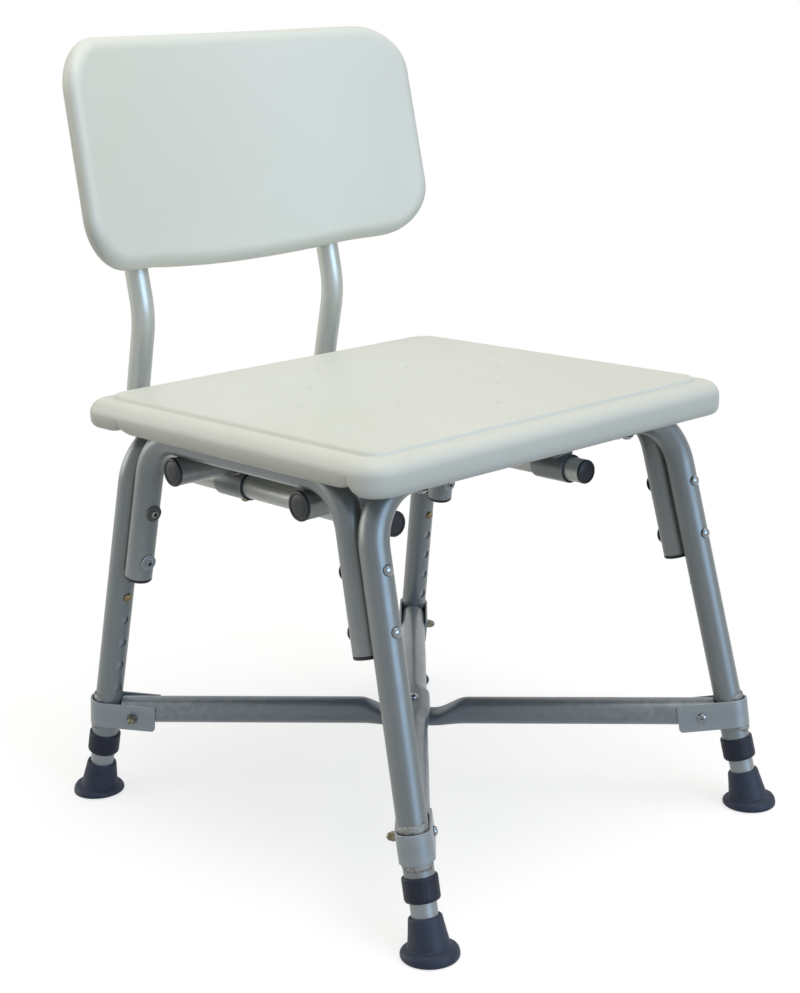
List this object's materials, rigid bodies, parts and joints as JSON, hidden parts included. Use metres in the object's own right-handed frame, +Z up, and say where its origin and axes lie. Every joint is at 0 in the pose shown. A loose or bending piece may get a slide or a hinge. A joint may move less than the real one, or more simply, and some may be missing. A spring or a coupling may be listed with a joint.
{
  "type": "bath seat with backrest",
  "caption": "Square bath and shower seat on splayed telescoping aluminium legs, with a flattened-tube cross brace and a curved backrest that slides out of sleeves under the seat.",
  "frame": {"origin": "on the floor, under the middle of the whole object's box", "axes": "+Z up, the sitter faces -Y, the backrest is at +Y, +X is to the right when seen from the front"},
  "size_m": [0.4832, 0.5762, 0.7568],
  "materials": {
    "white_plastic": "fine matte stipple",
    "aluminium": "satin anodised",
    "black_plastic": "matte",
    "black_rubber": "matte",
    "brass": "plated, slightly dull",
    "steel": "zinc plated"
  },
  "bodies": {
    "frame": {"brace_bolt": "steel", "brace_clamp_front_left": "aluminium", "brace_clamp_front_right": "aluminium", "brace_clamp_rear_left": "aluminium", "brace_clamp_rear_right": "aluminium", "brace_tube_lower": "aluminium", "brace_tube_upper": "aluminium", "clamp_bolt_front_left": "steel", "clamp_bolt_front_right": "steel", "clamp_bolt_rear_left": "steel", "clamp_bolt_rear_right": "steel", "cross_bar_plug_front_left": "black_plastic", "cross_bar_plug_front_right": "black_plastic", "cross_bar_plug_rear_left": "black_plastic", "cross_bar_plug_rear_right": "black_plastic", "front_cross_bar": "aluminium", "front_leg_frame": "aluminium", "leg_collar_front_left": "black_plastic", "leg_collar_front_right": "black_plastic", "leg_collar_rear_left": "black_plastic", "leg_collar_rear_right": "black_plastic", "rail_bolt_lower_front_left": "steel", "rail_bolt_lower_front_right": "steel", "rail_bolt_lower_rear_left": "steel", "rail_bolt_lower_rear_right": "steel", "rail_bolt_upper_front_left": "steel", "rail_bolt_upper_front_right": "steel", "rail_bolt_upper_rear_left": "steel", "rail_bolt_upper_rear_right": "steel", "rear_cross_bar": "aluminium", "rear_leg_frame": "aluminium", "seat_panel": "white_plastic", "side_rail_left": "aluminium", "side_rail_plug_front_left": "black_plastic", "side_rail_plug_front_right": "black_plastic", "side_rail_plug_rear_left": "black_plastic", "side_rail_plug_rear_right": "black_plastic", "side_rail_right": "aluminium"},
    "extension_front_left": {"leg_tube_front_left": "aluminium", "leg_tip_front_left": "black_rubber"},
    "extension_front_right": {"leg_tube_front_right": "aluminium", "leg_tip_front_right": "black_rubber"},
    "extension_rear_left": {"leg_tube_rear_left": "aluminium", "leg_tip_rear_left": "black_rubber"},
    "extension_rear_right": {"leg_tube_rear_right": "aluminium", "leg_tip_rear_right": "black_rubber"},
    "lock_front_left": {"leg_button_front_left": "brass"},
    "lock_front_right": {"leg_button_front_right": "brass"},
    "lock_rear_left": {"leg_button_rear_left": "brass"},
    "lock_rear_right": {"leg_button_rear_right": "brass"},
    "backrest": {"backrest_panel": "white_plastic", "backrest_post_left": "aluminium", "backrest_post_right": "aluminium", "backrest_post_plug_left": "black_plastic", "backrest_post_plug_right": "black_plastic"},
    "backrest_lock_left": {"backrest_button_left": "brass"},
    "backrest_lock_right": {"backrest_button_right": "brass"}
  },
  "joints": [
    {"name": "leg_extend_front_left", "type": "slide", "parent": "frame", "child": "extension_front_left", "axis": [-0.0551, -0.2127, -0.9756], "range_m": [0, 0.1016], "deforming": ["leg_button_front_left"]},
    {"name": "leg_extend_front_right", "type": "slide", "parent": "frame", "child": "extension_front_right", "axis": [0.0551, -0.2127, -0.9756], "range_m": [0, 0.1016], "deforming": ["leg_button_front_right"]},
    {"name": "leg_extend_rear_left", "type": "slide", "parent": "frame", "child": "extension_rear_left", "axis": [-0.0551, 0.2127, -0.9756], "range_m": [0, 0.1016], "deforming": ["leg_button_rear_left"]},
    {"name": "leg_extend_rear_right", "type": "slide", "parent": "frame", "child": "extension_rear_right", "axis": [0.0551, 0.2127, -0.9756], "range_m": [0, 0.1016], "deforming": ["leg_button_rear_right"]},
    {"name": "leg_button_press_front_left", "type": "slide", "parent": "extension_front_left", "child": "lock_front_left", "axis": [0.012, -0.9771, 0.2124], "range_m": [0, 0.005], "stiffness_N_per_m": 400, "springref_m": -0.005},
    {"name": "leg_button_press_front_right", "type": "slide", "parent": "extension_front_right", "child": "lock_front_right", "axis": [-0.012, -0.9771, 0.2124], "range_m": [0, 0.005], "stiffness_N_per_m": 400, "springref_m": -0.005},
    {"name": "leg_button_press_rear_left", "type": "slide", "parent": "extension_rear_left", "child": "lock_rear_left", "axis": [0.012, 0.9771, 0.2124], "range_m": [0, 0.005], "stiffness_N_per_m": 400, "springref_m": -0.005},
    {"name": "leg_button_press_rear_right", "type": "slide", "parent": "extension_rear_right", "child": "lock_rear_right", "axis": [-0.012, 0.9771, 0.2124], "range_m": [0, 0.005], "stiffness_N_per_m": 400, "springref_m": -0.005},
    {"name": "backrest_slide", "type": "slide", "parent": "frame", "child": "backrest", "axis": [0, 1, 0], "range_m": [0, 0.2], "deforming": ["backrest_button_left", "backrest_button_right"]},
    {"name": "backrest_button_press_left", "type": "slide", "parent": "backrest", "child": "backrest_lock_left", "axis": [0, 0, 1], "range_m": [0, 0.005], "stiffness_N_per_m": 400, "springref_m": -0.005},
    {"name": "backrest_button_press_right", "type": "slide", "parent": "backrest", "child": "backrest_lock_right", "axis": [0, 0, 1], "range_m": [0, 0.005], "stiffness_N_per_m": 400, "springref_m": -0.005}
  ]
}
